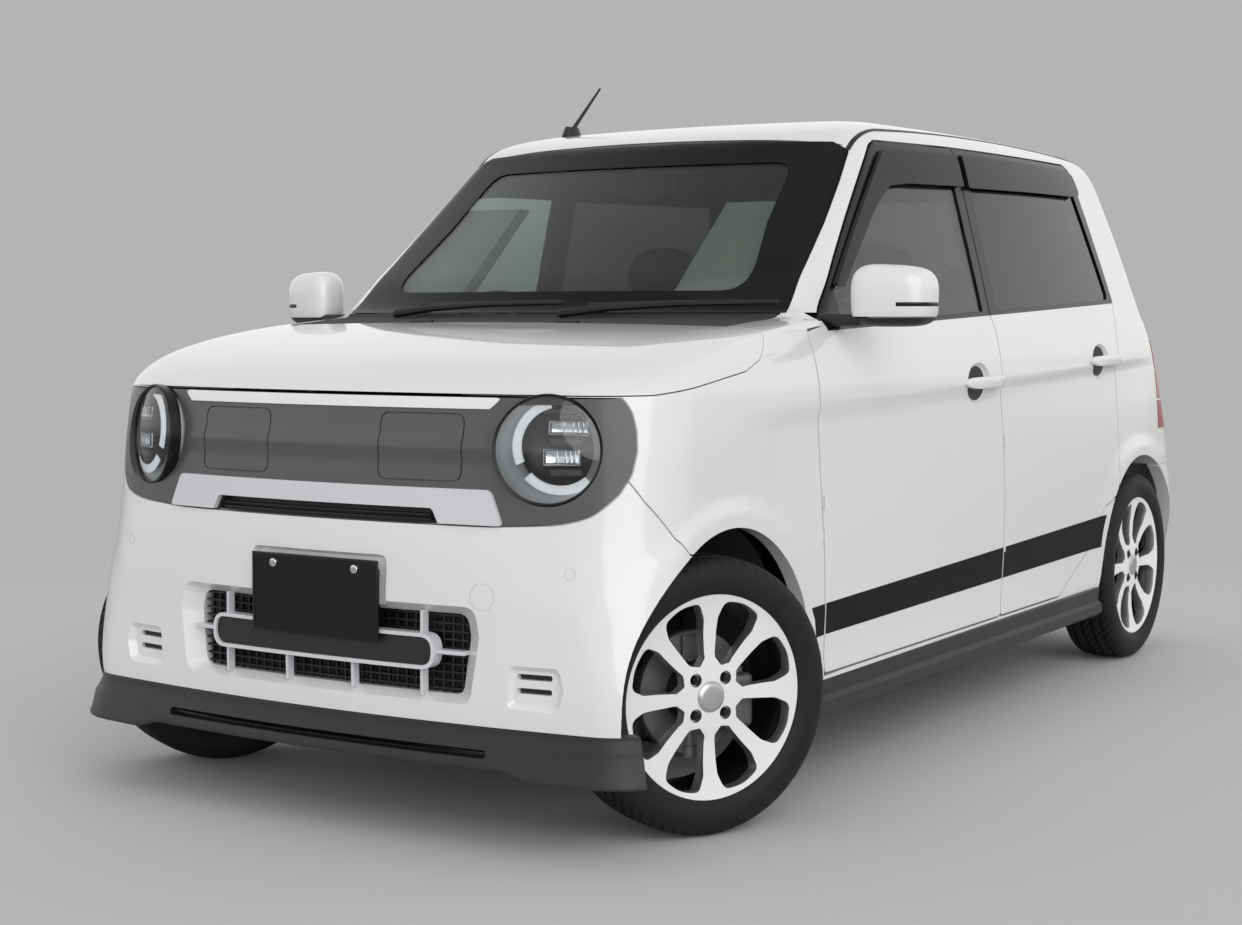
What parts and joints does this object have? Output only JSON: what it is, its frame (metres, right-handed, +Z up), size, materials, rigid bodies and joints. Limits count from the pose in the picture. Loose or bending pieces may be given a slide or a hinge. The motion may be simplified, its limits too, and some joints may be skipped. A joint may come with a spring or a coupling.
{
  "type": "kei car",
  "caption": "Boxy upright kei car with hinged doors, bonnet and tailgate, steered front wheels, round headlamps, lip spoiler and furnished cabin.",
  "frame": {"origin": "on the ground under the middle of the car's length and width", "axes": "+X forward, +Y to the car's left, +Z up"},
  "size_m": [3.3907, 1.8108, 1.6684],
  "materials": {
    "paint": "gloss",
    "black_trim": "satin",
    "dark_grey": "satin",
    "glass": "polished",
    "alloy": "machined",
    "tyre": "matt",
    "steel": "matt",
    "lamp": "polished",
    "red_lamp": "polished",
    "fabric": "woven"
  },
  "bodies": {
    "body": {"floor_pan": "steel", "wheel_housings": "black_trim", "body_sides": "paint", "roof": "paint", "bulkhead": "black_trim", "fenders": "paint", "front_bumper": "paint", "grille_panel": "dark_grey", "headlamps": "lamp", "lower_grille": "black_trim", "front_lip": "dark_grey", "windscreen": "glass", "wipers": "black_trim", "rear_bumper": "paint", "tail_lamps": "red_lamp", "side_skirts": "dark_grey", "dashboard": "black_trim", "seats": "fabric", "engine": "steel", "front_suspension": "steel", "rear_axle": "steel", "exhaust": "steel", "antenna": "black_trim", "hinges": "steel"},
    "bonnet": {"bonnet": "paint"},
    "tailgate": {"tailgate": "paint", "tailgate_glass": "glass"},
    "door_front_left": {"door_front_left": "paint", "glass_front_left": "glass", "mirror_left": "paint"},
    "door_front_right": {"door_front_right": "paint", "glass_front_right": "glass", "mirror_right": "paint"},
    "door_rear_left": {"door_rear_left": "paint", "glass_rear_left": "glass"},
    "door_rear_right": {"door_rear_right": "paint", "glass_rear_right": "glass"},
    "knuckle_left": {"knuckle_left": "steel"},
    "knuckle_right": {"knuckle_right": "steel"},
    "wheel_front_left": {"wheel_front_left": "alloy", "tyre_front_left": "tyre"},
    "wheel_front_right": {"wheel_front_right": "alloy", "tyre_front_right": "tyre"},
    "wheel_rear_left": {"wheel_rear_left": "alloy", "tyre_rear_left": "tyre"},
    "wheel_rear_right": {"wheel_rear_right": "alloy", "tyre_rear_right": "tyre"},
    "steering_wheel": {"steering_wheel": "black_trim"}
  },
  "joints": [
    {"name": "bonnet_hinge", "type": "hinge", "parent": "body", "child": "bonnet", "pos_m": [1.056, 0, 1.02145], "axis": [0, -1, 0], "range_deg": [0, 55]},
    {"name": "tailgate_hinge", "type": "hinge", "parent": "body", "child": "tailgate", "pos_m": [-1.227, 0, 1.5091], "axis": [0, 1, 0], "range_deg": [0, 80]},
    {"name": "door_front_left_hinge", "type": "hinge", "parent": "body", "child": "door_front_left", "pos_m": [0.86, 0.7375, 0.6], "axis": [0, 0, -1], "range_deg": [0, 65]},
    {"name": "door_front_right_hinge", "type": "hinge", "parent": "body", "child": "door_front_right", "pos_m": [0.86, -0.7375, 0.6], "axis": [0, 0, 1], "range_deg": [0, 65]},
    {"name": "door_rear_left_hinge", "type": "hinge", "parent": "body", "child": "door_rear_left", "pos_m": [-0.162, 0.7375, 0.6], "axis": [0, 0, -1], "range_deg": [0, 75]},
    {"name": "door_rear_right_hinge", "type": "hinge", "parent": "body", "child": "door_rear_right", "pos_m": [-0.162, -0.7375, 0.6], "axis": [0, 0, 1], "range_deg": [0, 75]},
    {"name": "steer_left", "type": "hinge", "parent": "body", "child": "knuckle_left", "pos_m": [1.26, 0.632, 0.281], "axis": [0, 0, 1], "range_deg": [-11, 63]},
    {"name": "steer_right", "type": "hinge", "parent": "body", "child": "knuckle_right", "pos_m": [1.26, -0.632, 0.281], "axis": [0, 0, 1], "range_deg": [-11, 63]},
    {"name": "wheel_front_left_spin", "type": "hinge", "parent": "knuckle_left", "child": "wheel_front_left", "pos_m": [1.26877, 0.64998, 0.281], "axis": [0.4384, 0.8988, 0], "continuous": true},
    {"name": "wheel_front_right_spin", "type": "hinge", "parent": "knuckle_right", "child": "wheel_front_right", "pos_m": [1.25123, -0.64998, 0.281], "axis": [0.4384, 0.8988, 0], "continuous": true},
    {"name": "wheel_rear_left_spin", "type": "hinge", "parent": "body", "child": "wheel_rear_left", "pos_m": [-1.26, 0.652, 0.281], "axis": [0, 1, 0], "continuous": true},
    {"name": "wheel_rear_right_spin", "type": "hinge", "parent": "body", "child": "wheel_rear_right", "pos_m": [-1.26, -0.652, 0.281], "axis": [0, 1, 0], "continuous": true},
    {"name": "steering_wheel_turn", "type": "hinge", "parent": "body", "child": "steering_wheel", "pos_m": [0.5, -0.33, 0.93], "axis": [-0.8988, 0, 0.4384], "range_deg": [-154, 882]}
  ],
  "couplings": [
    {"joint": "steer_right", "follows": "steer_left", "ratio": 1},
    {"joint": "steering_wheel_turn", "follows": "steer_left", "ratio": 14}
  ]
}
